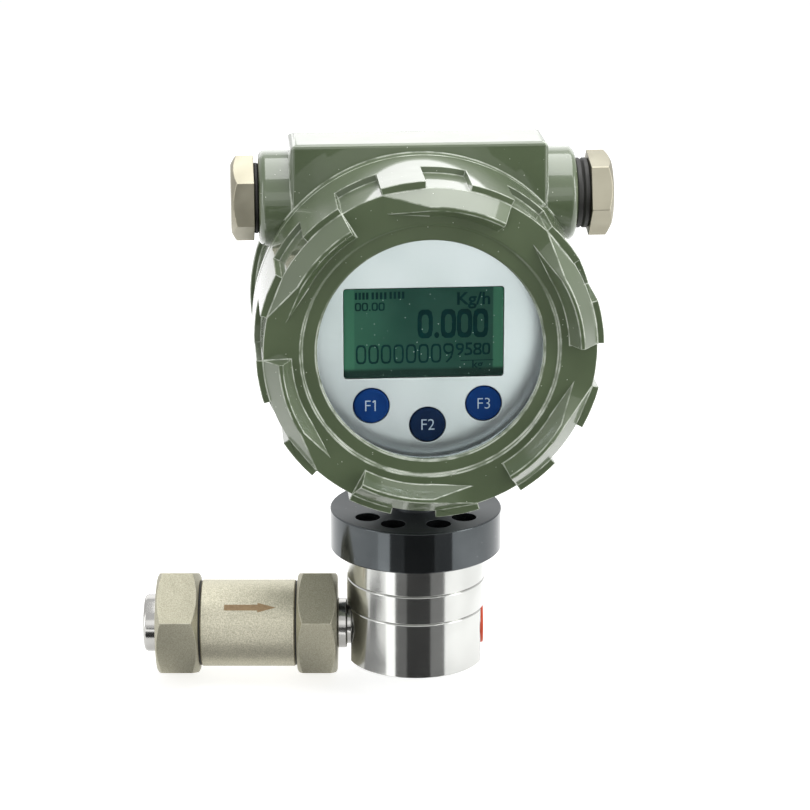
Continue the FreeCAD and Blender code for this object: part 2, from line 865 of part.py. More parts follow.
def entry_plug(side, seat, turn):
    """Hexagon plug whose shank fills the boss thread; seat is the height of the rings under its head."""
    low = boss_reach + seat
    high = low + entry_plug_length
    corner = 90 - side * turn + flat_to_corner
    head = chamfered_hexagon(entry_plug_flats, low, high, corner, entry_plug_inset, False)
    shank = disc(entry_thread_dia / 2 - thread_gap, boss_reach - entry_plug_depth, low)
    return on_boss(head.fuse(shank), side)


def entry_ring(side, low, thick):
    """Rubber ring with its outer corners rounded off by flats."""
    outer = entry_ring_dia / 2
    inner = entry_thread_dia / 2
    corner = thick * ring_corner_share
    profile = [(inner, low), (outer - corner, low), (outer, low + corner), (outer, low + thick - corner)]
    profile += [(outer - corner, low + thick), (inner, low + thick)]
    return on_boss(turned(profile), side)


def left_plug_ring():
    return entry_ring(-1, boss_reach, left_ring_thick)


def right_plug_rings():
    lows = [boss_reach + right_ring_thick * k for k in range(right_ring_count)]
    return Part.makeCompound([entry_ring(1, low, right_ring_thick) for low in lows])


def left_cable_plug():
    return entry_plug(-1, left_ring_thick, left_plug_turn)


def right_cable_plug():
    return entry_plug(1, right_ring_thick * right_ring_count, right_plug_turn)


pieces = {
    "base_block": base_block(),
    "chamber_plate": chamber_plate(),
    "top_plate": top_plate(),
    "lower_seal": lower_seal(),
    "upper_seal": upper_seal(),
    "drive_gear": drive_gear(),
    "driven_gear": driven_gear(),
    "drive_gear_bush": gear_bush(-1),
    "driven_gear_bush": gear_bush(1),
    "drive_gear_shaft": gear_shaft(-1),
    "driven_gear_shaft": gear_shaft(1),
    "gear_magnets": magnets(),
    "stack_screws": stack_screws(),
    "pickup_sensor": pickup_sensor(),
    "mounting_flange": mounting_flange(),
    "neck_tube": neck_tube(),
    "neck_lock_nut": neck_lock_nut(),
    "nipple_washer": nipple_washer(),
    "outlet_nipple": outlet_nipple(),
    "outlet_hex_end": outlet_hex_piece(),
    "inlet_hex_end": inlet_hex_piece(),
    "strainer_seals": strainer_seals(),
    "strainer_tube": strainer_tube(),
    "strainer_mesh": strainer_mesh(),
    "inlet_adapter": inlet_adapter(),
    "outlet_plug": outlet_plug(),
    "housing": housing(),
    "front_cover": front_cover(),
    "rear_cover": rear_cover(),
    "front_cover_seal": front_cover_seal(),
    "rear_cover_seal": rear_cover_seal(),
    "glass_gasket": glass_gasket(),
    "window_glass": window_glass(),
    "glass_retaining_ring": glass_retaining_ring(),
    "display_faceplate": display_faceplate(),
    "lcd_panel": lcd_panel(),
    "button_f1": key_button(0),
    "button_f2": key_button(1),
    "button_f3": key_button(2),
    "display_board": display_board(),
    "main_board": main_board(),
    "plate_posts": plate_posts(),
    "board_posts": board_posts(),
    "base_posts": base_posts(),
    "terminal_block": terminal_block(),
    "left_plug_ring": left_plug_ring(),
    "right_plug_rings": right_plug_rings(),
    "left_cable_plug": left_cable_plug(),
    "right_cable_plug": right_cable_plug(),
}

os.makedirs("parts", exist_ok=True)
for name, shape in pieces.items():
    shape.exportStep("parts/" + name + ".step")
    print(name, "solids", len(shape.Solids), "valid", shape.isValid(), "volume", round(shape.Volume, 1))
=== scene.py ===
import bmesh
import bpy
import math
from mathutils import Matrix, Vector


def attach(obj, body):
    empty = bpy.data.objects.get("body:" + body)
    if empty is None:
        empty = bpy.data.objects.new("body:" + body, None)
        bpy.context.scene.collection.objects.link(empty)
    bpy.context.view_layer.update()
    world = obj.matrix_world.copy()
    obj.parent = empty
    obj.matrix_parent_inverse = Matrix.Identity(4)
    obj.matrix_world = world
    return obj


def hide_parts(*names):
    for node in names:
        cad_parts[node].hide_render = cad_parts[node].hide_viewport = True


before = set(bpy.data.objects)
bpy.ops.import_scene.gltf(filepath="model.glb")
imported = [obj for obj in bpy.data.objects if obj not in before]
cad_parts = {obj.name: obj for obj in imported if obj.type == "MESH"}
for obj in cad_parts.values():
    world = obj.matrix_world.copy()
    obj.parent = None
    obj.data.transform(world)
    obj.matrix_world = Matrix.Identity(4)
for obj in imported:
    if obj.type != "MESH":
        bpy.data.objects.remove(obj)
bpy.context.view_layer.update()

# Millimetres are used throughout; MM turns them into metres
MM = 0.001
ROOT = "meter"

# The head is swivelled on its neck; its own frame is x right, y up, z out of the display
HEAD_TURN = 4.4
HEAD_LEVEL = 132.0
HEAD = (Matrix.Rotation(math.radians(HEAD_TURN), 4, "Z")
        @ Matrix.Translation((0, 0, HEAD_LEVEL * MM))
        @ Matrix.Rotation(math.radians(90), 4, "X")
        @ Matrix.Scale(MM, 4))

# The strainer hangs on the left port, with its own axis pointing away from the body
PORT_FACE = 23.4
PORT_HEIGHT = 11.8
STRAINER = (Matrix.Translation((-PORT_FACE * MM, 0, PORT_HEIGHT * MM))
            @ Matrix.Rotation(math.radians(-90), 4, "Y")
            @ Matrix.Scale(MM, 4))

scene = bpy.context.scene
scene.view_settings.view_transform = "Standard"


# Camera

EYE = Vector((-3.85, -956.4, 387.0)) * MM
TARGET = Vector((-3.85, 0.0, 94.8)) * MM
LENS = 124.75
SENSOR = 36.0
CLIP_START = 0.01


def place_camera():
    data = bpy.data.cameras.new("camera")
    data.lens = LENS
    data.sensor_width = SENSOR
    data.clip_start = CLIP_START
    camera = bpy.data.objects.new("camera", data)
    camera.location = EYE
    camera.rotation_euler = (TARGET - EYE).to_track_quat("-Z", "Y").to_euler()
    scene.collection.objects.link(camera)
    scene.camera = camera


# Finishes

# Name of the attribute that marks the faces of rounded edges for paler colour, part wear and part
# painted highlight, and the noise levels that break up that paleness
EDGE = "rounded_edge"
WEAR_AND_HIGHLIGHT_SPREAD = (0.3, 0.62)
# How far turned lines are drawn out round their axis
LINE_STRETCH = 0.02
# Display: its middle along x, the edge of its darker field, the fade and share of its paler left
# side, and the edge of its painted shadow strip along the bottom
DISPLAY_MIDDLE = 2.3
FIELD_EDGE = (23.0, 23.6)
PALER_SIDE = (-4.0, -24.0)
PALER_SHARE = 0.55
SHADOW_STRIP = (123.2, 121.8)
# Flange: level of its faced top, how far below it the change begins, and how much rougher the top is
FLANGE_TOP = 57.0
FACED_DEPTH = 0.3
FACED_ROUGHNESS = 0.42


def srgb(red, green, blue):
    """Linear colour from eight-bit values as seen on a screen."""
    values = []
    for level in (red, green, blue):
        share = level / 255
        values.append(share / 12.92 if share <= 0.04045 else ((share + 0.055) / 1.055) ** 2.4)
    return (*values, 1.0)


def new_group(name, inputs, outputs):
    group = bpy.data.node_groups.new(name, "ShaderNodeTree")
    for label, kind, default in inputs:
        socket = group.interface.new_socket(name=label, in_out="INPUT", socket_type=kind)
        socket.default_value = default
    for label, kind in outputs:
        group.interface.new_socket(name=label, in_out="OUTPUT", socket_type=kind)
    start = group.nodes.new("NodeGroupInput")
    end = group.nodes.new("NodeGroupOutput")
    return group, start, end


def add(tree, kind, **settings):
    node = tree.nodes.new(kind)
    for key, value in settings.items():
        setattr(node, key, value)
    return node


def maths(tree, operation, first, second):
    """Math node on two values, each a number or a socket."""
    node = add(tree, "ShaderNodeMath", operation=operation)
    for socket, value in zip(node.inputs, (first, second)):
        if isinstance(value, (int, float)):
            socket.default_value = value
        else:
            tree.links.new(value, socket)
    return node.outputs[0]


def make_grain():
    """Noise on the object's own coordinates, stretched along chosen axes, from 0 to 1."""
    group, start, end = new_group(
        "grain",
        [("Stretch", "NodeSocketVector", (1, 1, 1)), ("Scale", "NodeSocketFloat", 100.0),
         ("Detail", "NodeSocketFloat", 3.0)],
        [("Value", "NodeSocketFloat")])
    place = add(group, "ShaderNodeTexCoord")
    stretch = add(group, "ShaderNodeVectorMath", operation="MULTIPLY")
    noise = add(group, "ShaderNodeTexNoise")
    group.links.new(place.outputs["Object"], stretch.inputs[0])
    group.links.new(start.outputs["Stretch"], stretch.inputs[1])
    group.links.new(stretch.outputs[0], noise.inputs["Vector"])
    group.links.new(start.outputs["Scale"], noise.inputs["Scale"])
    group.links.new(start.outputs["Detail"], noise.inputs["Detail"])
    group.links.new(noise.outputs["Fac"], end.inputs["Value"])
    return group


def make_specks():
    """Scattered small dots: one in each cell of a Voronoi pattern, in a share of the cells."""
    group, start, end = new_group(
        "specks",
        [("Scale", "NodeSocketFloat", 300.0), ("Size", "NodeSocketFloat", 0.12),
         ("Share", "NodeSocketFloat", 0.2)],
        [("Mask", "NodeSocketFloat")])
    place = add(group, "ShaderNodeTexCoord")
    cells = add(group, "ShaderNodeTexVoronoi")
    group.links.new(place.outputs["Object"], cells.inputs["Vector"])
    group.links.new(start.outputs["Scale"], cells.inputs["Scale"])
    pick = add(group, "ShaderNodeSeparateColor")
    group.links.new(cells.outputs["Color"], pick.inputs[0])
    near = maths(group, "LESS_THAN", cells.outputs["Distance"], start.outputs["Size"])
    chosen = maths(group, "LESS_THAN", pick.outputs[0], start.outputs["Share"])
    group.links.new(maths(group, "MULTIPLY", near, chosen), end.inputs["Mask"])
    return group


def make_tone():
    """Two colours mixed by a value that is first pushed towards its ends."""
    group, start, end = new_group(
        "tone",
        [("Value", "NodeSocketFloat", 0.5), ("Low", "NodeSocketFloat", 0.3),
         ("High", "NodeSocketFloat", 0.7), ("First", "NodeSocketColor", (0, 0, 0, 1)),
         ("Second", "NodeSocketColor", (1, 1, 1, 1))],
        [("Colour", "NodeSocketColor")])
    push = add(group, "ShaderNodeMapRange", interpolation_type="SMOOTHSTEP")
    group.links.new(start.outputs["Value"], push.inputs["Value"])
    group.links.new(start.outputs["Low"], push.inputs["From Min"])
    group.links.new(start.outputs["High"], push.inputs["From Max"])
    mix = add(group, "ShaderNodeMix", data_type="RGBA")
    group.links.new(push.outputs[0], mix.inputs["Factor"])
    group.links.new(start.outputs["First"], mix.inputs[6])
    group.links.new(start.outputs["Second"], mix.inputs[7])
    group.links.new(mix.outputs[2], end.inputs["Colour"])
    return group


def make_wear_and_highlight():
    """Paler colour on the faces marked as rounded edges, part wear and part painted highlight, broken
    up by noise.
    """
    group, start, end = new_group(
        "edge_wear_and_highlight",
        [("Amount", "NodeSocketFloat", 0.5), ("Scale", "NodeSocketFloat", 200.0)],
        [("Mask", "NodeSocketFloat")])
    place = add(group, "ShaderNodeTexCoord")
    noise = add(group, "ShaderNodeTexNoise")
    group.links.new(place.outputs["Object"], noise.inputs["Vector"])
    group.links.new(start.outputs["Scale"], noise.inputs["Scale"])
    spread = add(group, "ShaderNodeMapRange", interpolation_type="SMOOTHSTEP")
    group.links.new(noise.outputs["Fac"], spread.inputs["Value"])
    spread.inputs["From Min"].default_value = WEAR_AND_HIGHLIGHT_SPREAD[0]
    spread.inputs["From Max"].default_value = WEAR_AND_HIGHLIGHT_SPREAD[1]
    edge = add(group, "ShaderNodeAttribute", attribute_name=EDGE)
    broken = maths(group, "MULTIPLY", spread.outputs[0], start.outputs["Amount"])
    group.links.new(maths(group, "MULTIPLY", broken, edge.outputs["Fac"]), end.inputs["Mask"])
    return group


WEAR_AND_HIGHLIGHT = make_wear_and_highlight()
GRAIN = make_grain()
SPECKS = make_specks()
TONE = make_tone()


class Finish:
    """A material built on one Principled shader, with the shared groups placed into it."""

    def __init__(self, name, **constants):
        self.material = bpy.data.materials.new(name)
        self.material.use_nodes = True
        self.tree = self.material.node_tree
        self.shader = self.tree.nodes["Principled BSDF"]
        for key, value in constants.items():
            self.shader.inputs[key.replace("_", " ")].default_value = value

    def link(self, output, key):
        self.tree.links.new(output, self.shader.inputs[key])

    def group(self, group, **values):
        node = add(self.tree, "ShaderNodeGroup", node_tree=group)
        for key, value in values.items():
            if isinstance(value, bpy.types.NodeSocket):
                self.tree.links.new(value, node.inputs[key])
            else:
                node.inputs[key].default_value = value
        return node.outputs[0]

    def grain(self, scale, stretch=(1, 1, 1), detail=3.0):
        return self.group(GRAIN, Scale=scale, Stretch=stretch, Detail=detail)

    def tone(self, value, first, second):
        return self.group(TONE, Value=value, First=first, Second=second)

    def specks(self, scale, size, share):
        return self.group(SPECKS, Scale=scale, Size=size, Share=share)

    def step(self, value, low, high):
        """Soft step from 0 at low to 1 at high."""
        node = add(self.tree, "ShaderNodeMapRange", interpolation_type="SMOOTHSTEP")
        self.tree.links.new(value, node.inputs["Value"])
        node.inputs["From Min"].default_value = low
        node.inputs["From Max"].default_value = high
        return node.outputs[0]

    def over(self, mask, colour, below):
        """A plain colour laid over another by a mask."""
        mix = add(self.tree, "ShaderNodeMix", data_type="RGBA")
        self.tree.links.new(mask, mix.inputs["Factor"])
        self.tree.links.new(below, mix.inputs[6])
        mix.inputs[7].default_value = colour
        return mix.outputs[2]

    # Paler colour on marked edges: part wear, part painted highlight
    def worn_and_highlit(self, amount, scale=260):
        return self.group(WEAR_AND_HIGHLIGHT, Amount=amount, Scale=scale)

    def ranged(self, value, low, high):
        """A value from 0 to 1 brought between low and high."""
        node = add(self.tree, "ShaderNodeMapRange")
        self.tree.links.new(value, node.inputs["Value"])
        node.inputs["To Min"].default_value = low
        node.inputs["To Max"].default_value = high
        return node.outputs[0]

    def place(self):
        """Sockets of the object's own coordinates, by axis."""
        place = add(self.tree, "ShaderNodeTexCoord")
        split = add(self.tree, "ShaderNodeSeparateXYZ")
        self.tree.links.new(place.outputs["Object"], split.inputs[0])
        return split.outputs

    def bump(self, height, strength, distance):
        node = add(self.tree, "ShaderNodeBump")
        node.inputs["Strength"].default_value = strength
        node.inputs["Distance"].default_value = distance
        self.tree.links.new(height, node.inputs["Height"])
        self.link(node.outputs[0], "Normal")


def paint_finish():
    """Gloss enamel on a casting: faint orange peel, slow changes of shade, pale edges of wear and
    painted highlight, and dust.
    """
    finish = Finish("head_paint", Coat_Weight=1.0, Coat_Roughness=0.04, Specular_IOR_Level=0.5)
    shade = finish.tone(finish.grain(26, detail=2.0), srgb(80, 94, 66), srgb(91, 105, 76))
    dust = finish.specks(scale=600, size=0.1, share=0.22)
    # Pale edges: part wear, part painted highlight where light catches the rounded edges
    shade = finish.over(finish.worn_and_highlit(0.6, 190), srgb(206, 214, 198), shade)
    finish.link(finish.over(dust, srgb(196, 202, 184), shade), "Base Color")
    finish.link(finish.ranged(finish.grain(90), 0.26, 0.4), "Roughness")
    finish.bump(finish.grain(420, detail=1.0), strength=0.05, distance=0.0004)
    return finish.material


def round_lines(axis):
    """Stretch of the noise that draws lines round an axis."""
    return tuple(1.0 if index == axis else LINE_STRETCH for index in range(3))


def turned_steel(name, colour, dark, roughness, axis, lines, streak=0.0):
    """Turned metal: fine lines round an axis, with slow changes of shade and a little dust."""
    finish = Finish(name, Metallic=1.0, Anisotropic=streak, Anisotropic_Rotation=0.25)
    shade = finish.tone(finish.grain(40, detail=2.0), dark, colour)
    dust = finish.specks(scale=620, size=0.08, share=0.2)
    finish.link(finish.over(dust, srgb(232, 232, 228), shade), "Base Color")
    marks = finish.grain(lines, round_lines(axis), 2.0)
    finish.link(finish.ranged(marks, roughness * 0.7, roughness * 1.3), "Roughness")
    finish.bump(marks, strength=0.06, distance=0.00003)
    return finish.material


def blasted_steel(name, dark, light):
    """Bead-blasted metal: a fine grain of two shades with small pits, paler at its edges in part wear
    and part painted highlight.
    """
    finish = Finish(name, Metallic=1.0)
    shade = finish.tone(finish.grain(2400, detail=2.0), dark, light)
    pits = finish.specks(scale=1500, size=0.16, share=0.25)
    # Paler edges: part wear, part painted highlight on the chamfers
    shade = finish.over(finish.worn_and_highlit(0.3), srgb(214, 210, 194), shade)
    finish.link(finish.over(pits, srgb(138, 136, 120), shade), "Base Color")
    finish.link(finish.ranged(finish.grain(300), 0.44, 0.58), "Roughness")
    finish.bump(finish.grain(2200, detail=3.0), strength=0.5, distance=0.00014)
    return finish.material


def plain_finish(name, first, second, roughness, scale=60, bump=0.0, constants=None):
    """Two close shades in slow patches, with roughness that changes over the surface."""
    finish = Finish(name, **(constants or {}))
    finish.link(finish.tone(finish.grain(scale), srgb(*first), srgb(*second)), "Base Color")
    finish.link(finish.ranged(finish.grain(scale * 4), *roughness), "Roughness")
    if bump:
        finish.bump(finish.grain(scale * 20, detail=2.0), strength=bump, distance=0.0001)
    return finish.material


def flange_finish():
    """Black anodised metal, turned smooth on its rim and faced rougher on its top."""
    finish = Finish("black_anodised", Metallic=0.9, Anisotropic=0.6, Anisotropic_Rotation=0.25)
    shade = finish.tone(finish.grain(50), srgb(72, 76, 78), srgb(84, 88, 90))
    dust = finish.specks(scale=600, size=0.09, share=0.16)
    finish.link(finish.over(dust, srgb(150, 152, 156), shade), "Base Color")
    turned = finish.ranged(finish.grain(500, round_lines(2)), 0.09, 0.15)
    faced = finish.step(finish.place()["Z"], (FLANGE_TOP - FACED_DEPTH) * MM, FLANGE_TOP * MM)
    rougher = maths(finish.tree, "MULTIPLY", faced, FACED_ROUGHNESS)
    finish.link(maths(finish.tree, "ADD", turned, rougher), "Roughness")
    return finish.material


def window_finish():
    """Clear glass that lets the light pass to the display behind it."""
    finish = Finish("window", Transmission_Weight=1.0, Roughness=0.0, IOR=1.45)
    shade = finish.tone(finish.grain(20), (0.94, 0.97, 0.95, 1), (0.97, 0.99, 0.98, 1))
    finish.link(shade, "Base Color")
    path = add(finish.tree, "ShaderNodeLightPath").outputs
    clear = add(finish.tree, "ShaderNodeBsdfTransparent")
    mix = add(finish.tree, "ShaderNodeMixShader")
    output = finish.tree.nodes["Material Output"]
    passing = maths(finish.tree, "MAXIMUM", path["Is Shadow Ray"], path["Is Diffuse Ray"])
    finish.tree.links.new(passing, mix.inputs[0])
    finish.tree.links.new(finish.shader.outputs[0], mix.inputs[1])
    finish.tree.links.new(clear.outputs[0], mix.inputs[2])
    finish.tree.links.new(mix.outputs[0], output.inputs["Surface"])
    return finish.material


def display_finish():
    """Green display behind a matt film: a darker field, paler to the left, and a painted shadow along
    the bottom edge.
    """
    finish = Finish("display", Specular_IOR_Level=0.05, Roughness=0.6)
    pale = srgb(72, 128, 103)
    place = finish.place()
    across = maths(finish.tree, "SUBTRACT", place["X"], DISPLAY_MIDDLE * MM)
    side = maths(finish.tree, "ABSOLUTE", across, 0.0)
    field = finish.tone(finish.grain(70), srgb(43, 83, 72), srgb(50, 90, 79))
    fade = finish.step(across, PALER_SIDE[0] * MM, PALER_SIDE[1] * MM)
    shade = finish.over(maths(finish.tree, "MULTIPLY", fade, PALER_SHARE), pale, field)
    shade = finish.over(finish.step(side, FIELD_EDGE[0] * MM, FIELD_EDGE[1] * MM), pale, shade)
    # Painted shadow: a darker strip along the bottom edge of the display
    shadow_strip = finish.step(place["Z"], SHADOW_STRIP[0] * MM, SHADOW_STRIP[1] * MM)
    shade = finish.over(shadow_strip, srgb(32, 58, 51), shade)
    dust = finish.specks(scale=700, size=0.12, share=0.3)
    finish.link(finish.over(dust, srgb(170, 200, 190), shade), "Base Color")
    return finish.material


STEEL = srgb(201, 202, 199)
STEEL_DARK = srgb(184, 185, 182)
BRIGHT = srgb(184, 183, 180)
BRIGHT_DARK = srgb(168, 167, 164)
FINISHES = {
    "head_paint": paint_finish(),
    "turned_stainless": turned_steel("turned_stainless", STEEL, STEEL_DARK, 0.18, 2, 1800, 0.8),
    "blasted_stainless": blasted_steel("blasted_stainless", srgb(154, 151, 134), srgb(174, 171, 153)),
    # A lighter copy of the blasted steel for the tube: painted light, where the tube is lit more than
    # the hexagons
    "lit_tube_stainless": blasted_steel("lit_tube_stainless", srgb(172, 169, 151), srgb(204, 200, 181)),
    "bright_stainless": turned_steel("bright_stainless", BRIGHT, BRIGHT_DARK, 0.16, 0, 1500),
    "gear_steel": turned_steel("gear_steel", STEEL, STEEL_DARK, 0.25, 2, 2200),
    "black_anodised": flange_finish(),
    "window": window_finish(),
    "display": display_finish(),
}
METAL = {"Metallic": 1.0}
# Plain finishes: two shades, roughness from and to, then scale of the patches, bump and constants
PLAIN = {
    "black_steel": ((24, 24, 26), (36, 36, 38), (0.3, 0.45)),
    "bush_bronze": ((150, 112, 62), (172, 132, 76), (0.3, 0.4), 60, 0.0, METAL),
    "magnet": ((70, 70, 74), (88, 88, 92), (0.35, 0.5), 60, 0.0, METAL),
    "sieve_cloth": ((150, 148, 140), (176, 174, 166), (0.4, 0.6), 400, 0.4, METAL),
    "black_rubber": ((28, 28, 27), (40, 40, 38), (0.5, 0.7), 90, 0.2),
    "retaining_ring": ((166, 172, 175), (184, 190, 192), (0.2, 0.3), 60, 0.0, METAL),
    "silver_plate": ((210, 218, 220), (222, 229, 231), (0.3, 0.38), 40, 0.0, {"Metallic": 0.9}),
    "key_blue": ((2, 56, 124), (5, 64, 136), (0.4, 0.55), 150, 0.0, {"Specular_IOR_Level": 0.1}),
    "key_navy": ((6, 34, 70), (9, 42, 80), (0.4, 0.55), 150, 0.0, {"Specular_IOR_Level": 0.1}),
    "display_ink": ((0, 46, 47), (2, 54, 54), (0.4, 0.5), 300, 0.0, {"Specular_IOR_Level": 0.05}),
    "label_white": ((196, 216, 234), (210, 228, 242), (0.4, 0.5), 300),
    "circuit_board": ((20, 70, 40), (26, 84, 50), (0.35, 0.5), 120),
    "post_brass": ((180, 150, 84), (198, 168, 100), (0.25, 0.4), 60, 0.0, METAL),
    "dark_plastic": ((30, 32, 34), (42, 44, 46), (0.4, 0.55)),
    "plug_orange": ((206, 70, 34), (222, 86, 44), (0.35, 0.5), 120),
    "plug_nickel": ((146, 142, 126), (164, 160, 143), (0.36, 0.48), 70, 0.0, METAL),
    "arrow_tan": ((156, 130, 96), (172, 146, 110), (0.5, 0.65), 700),
}
for name, values in PLAIN.items():
    FINISHES[name] = plain_finish(name, *values)


# Pieces

def finish_piece(name, bm, slot, body=ROOT, finish=None, smooth_angle=40.0):
    """Makes a built mesh a piece that rides on a body, in its slot's finish or another."""
    mesh = bpy.data.meshes.new(name)
    bm.to_mesh(mesh)
    bm.free()
    piece = bpy.data.objects.new(name, mesh)
    scene.collection.objects.link(piece)
    mesh.shade_smooth()
    mesh.set_sharp_from_angle(angle=math.radians(smooth_angle))
    mesh.materials.append(FINISHES[finish or slot])
    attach(piece, body)
    return piece


# Degrees from which an edge is hard and gets rounded, and up to which two faces become one; then how
# near two vertices merge
HARD_ANGLE = 28.0
FLAT_ANGLE = 0.4
MERGE = 0.002
HEAD_BACK = HEAD.inverted()
# The edges round the window get a painted highlight on the sides and below: inner radius, height of
# the upper end, fade
RING_INNER = 36.0
RING_TOP = 22.0
RING_FADE = 14.0
# On the front cover all edges from the lugs' inner radius on are paler, part wear and part painted
# highlight
LUG_INNER = 47.0


def even_normals(piece):
    """Keeps large flat faces flat beside their small rounded edges."""
    modifier = piece.modifiers.new("even_normals", "WEIGHTED_NORMAL")
    modifier.keep_sharp = True


def rounded_copy(node, slot, width, body=ROOT, segments=2, finish=None, worn_and_highlit_from=0.0):
    """Copy of a solid, its hard edges rounded and, from a radius on the head, marked for paler colour
    of wear and painted highlight.
    """
    bm = bmesh.new()
    bm.from_mesh(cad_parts[node].data)
    bmesh.ops.remove_doubles(bm, verts=bm.verts, dist=MERGE * MM)
    bmesh.ops.dissolve_limit(bm, angle_limit=math.radians(FLAT_ANGLE), use_dissolve_boundaries=False,
                             verts=bm.verts, edges=bm.edges, delimit=set())
    hard = [edge for edge in bm.edges
            if edge.is_manifold and edge.calc_face_angle(0.0) > math.radians(HARD_ANGLE)]
    mark = bm.faces.layers.float.new(EDGE)
    made = bmesh.ops.bevel(bm, geom=hard, offset=width * MM, offset_type="OFFSET", affect="EDGES",
                           segments=segments, profile=0.5, material=-1, clamp_overlap=False)
    for face in made["faces"]:
        middle = HEAD_BACK @ face.calc_center_median()
        if middle.xy.length >= worn_and_highlit_from:
            face[mark] = 1.0
        # Round the window the mark is painted highlight, full on the sides and below and fading out
        # towards the top
        elif middle.xy.length >= RING_INNER:
            face[mark] = min(max((RING_TOP - middle.y) / RING_FADE, 0.0), 1.0)
    bmesh.ops.recalc_face_normals(bm, faces=bm.faces)
    piece = finish_piece(node + "_finished", bm, slot, body, finish)
    even_normals(piece)
    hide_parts(node)
    return piece


# Rounded copies on the fixed body: node, slot and width of its rounded edges
ROUNDED = [
    ("base_block", "turned_stainless", 0.12),
    ("chamber_plate", "turned_stainless", 0.12),
    ("top_plate", "turned_stainless", 0.12),
    ("mounting_flange", "black_anodised", 0.12),
    ("stack_screws", "black_steel", 0.15),
    ("neck_tube", "black_anodised", 0.2),
    ("neck_lock_nut", "black_anodised", 0.2),
    ("nipple_washer", "bright_stainless", 0.15),
    ("outlet_nipple", "bright_stainless", 0.15),
    ("outlet_hex_end", "blasted_stainless", 0.2),
    ("inlet_hex_end", "blasted_stainless", 0.2),
    ("strainer_seals", "black_rubber", 0.1),
    ("inlet_adapter", "bright_stainless", 0.2),
    ("outlet_plug", "plug_orange", 0.2),
    ("housing", "head_paint", 0.4),
    ("display_faceplate", "silver_plate", 0.25),
    ("lcd_panel", "display", 0.1),
    ("left_plug_ring", "black_rubber", 0.1),
    ("right_plug_rings", "black_rubber", 0.1),
    ("left_cable_plug", "plug_nickel", 0.25),
    ("right_cable_plug", "plug_nickel", 0.25),
]
for node, slot, width in ROUNDED:
    rounded_copy(node, slot, width)
# The tube takes the lighter copy of the blasted steel, painted light
rounded_copy("strainer_tube", "blasted_stainless", 0.12, finish="lit_tube_stainless")
rounded_copy("front_cover", "head_paint", 0.3, "front_cover", segments=3, worn_and_highlit_from=LUG_INNER)
rounded_copy("rear_cover", "head_paint", 0.3, "rear_cover", segments=3)
for key, finish in (("button_f1", "key_blue"), ("button_f2", "key_navy"), ("button_f3", "key_blue")):
    rounded_copy(key, "key_blue", 0.25, key, segments=3, finish=finish)

# Inner nodes that keep their own meshes, with the finish of their slot
KEPT = {
    "lower_seal": "black_rubber", "upper_seal": "black_rubber",
    "drive_gear": "gear_steel", "driven_gear": "gear_steel",
    "drive_gear_bush": "bush_bronze", "driven_gear_bush": "bush_bronze",
    "drive_gear_shaft": "gear_steel", "driven_gear_shaft": "gear_steel",
    "gear_magnets": "magnet", "pickup_sensor": "dark_plastic", "strainer_mesh": "sieve_cloth",
    "front_cover_seal": "black_rubber", "rear_cover_seal": "black_rubber",
    "glass_gasket": "black_rubber", "window_glass": "window",
    "glass_retaining_ring": "retaining_ring",
    "display_board": "circuit_board", "main_board": "circuit_board",
    "plate_posts": "post_brass", "board_posts": "post_brass", "base_posts": "post_brass",
    "terminal_block": "dark_plastic",
}
for node, slot in KEPT.items():
    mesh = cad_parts[node].data
    mesh.materials.clear()
    mesh.materials.append(FINISHES[slot])


# Screw threads, where they can be seen

THREAD_STEPS = 36
# Half width of a ridge's foot as a share of the pitch, and the angle up to which it is smooth
RIDGE_HALF = 0.42
RIDGE_SMOOTH = 30.0


def screw_thread(name, slot, root, crest, pitch, start, turns, place):
    """Ridge of a thread wound up an axis, with its foot just inside the wall."""
    bm = bmesh.new()
    half = RIDGE_HALF * pitch
    corners = [bm.verts.new((reach, 0, start + rise))
               for reach, rise in ((root, -half), (crest, 0), (root, half))]
    edges = [bm.edges.new((corners[k], corners[(k + 1) % 3])) for k in range(3)]
    steps = round(THREAD_STEPS * turns)
    bmesh.ops.spin(bm, geom=corners + edges, cent=(0, 0, 0), axis=(0, 0, 1),
                   dvec=(0, 0, pitch / THREAD_STEPS), angle=2 * math.pi * turns, steps=steps)
    bmesh.ops.holes_fill(bm, edges=[edge for edge in bm.edges if edge.is_boundary], sides=3)
    bmesh.ops.recalc_face_normals(bm, faces=bm.faces)
    bm.transform(place)
    return finish_piece(name, bm, slot, smooth_angle=RIDGE_SMOOTH)


screw_thread("inlet_thread", "bright_stainless", root=5.75, crest=5.2, pitch=1.3,
             start=66.6, turns=6, place=STRAINER)
screw_thread("neck_thread", "black_anodised", root=8.42, crest=8.85, pitch=1.5,
             start=58.0, turns=2.25, place=Matrix.Scale(MM, 4))


# Marks on the display, the keys and the strainer

LCD_FRONT = 46.7
KEY_FRONT = 47.7
MARK_PROUD = 0.03
MARK_DEPTH = 0.05
# Steps in each curve of a letter, and how near two of its vertices count as one
LETTER_STEPS = 4
LETTER_MERGE = 0.0005
# Slanted stroke at the head of the figure one on the first key
FLAG_MIDDLE = (0.82, 1.72, 0.0)
FLAG_TURN = 42.0
FLAG_SIZE = (0.95, 0.4, 0.048)
# How far the display's figures are pulled towards rectangles, and the half height, as a share of the
# letter size, from which one counts as tall
SQUARENESS = 3.5
TALL_FIGURE = 0.25


def linked_verts(start, left):
    """Takes the vertices joined to a first one out of those that are left."""
    found = [start]
    for vert in found:
        for edge in vert.link_edges:
            other = edge.other_vert(vert)
            if other in left:
                left.remove(other)
                found.append(other)
    return found


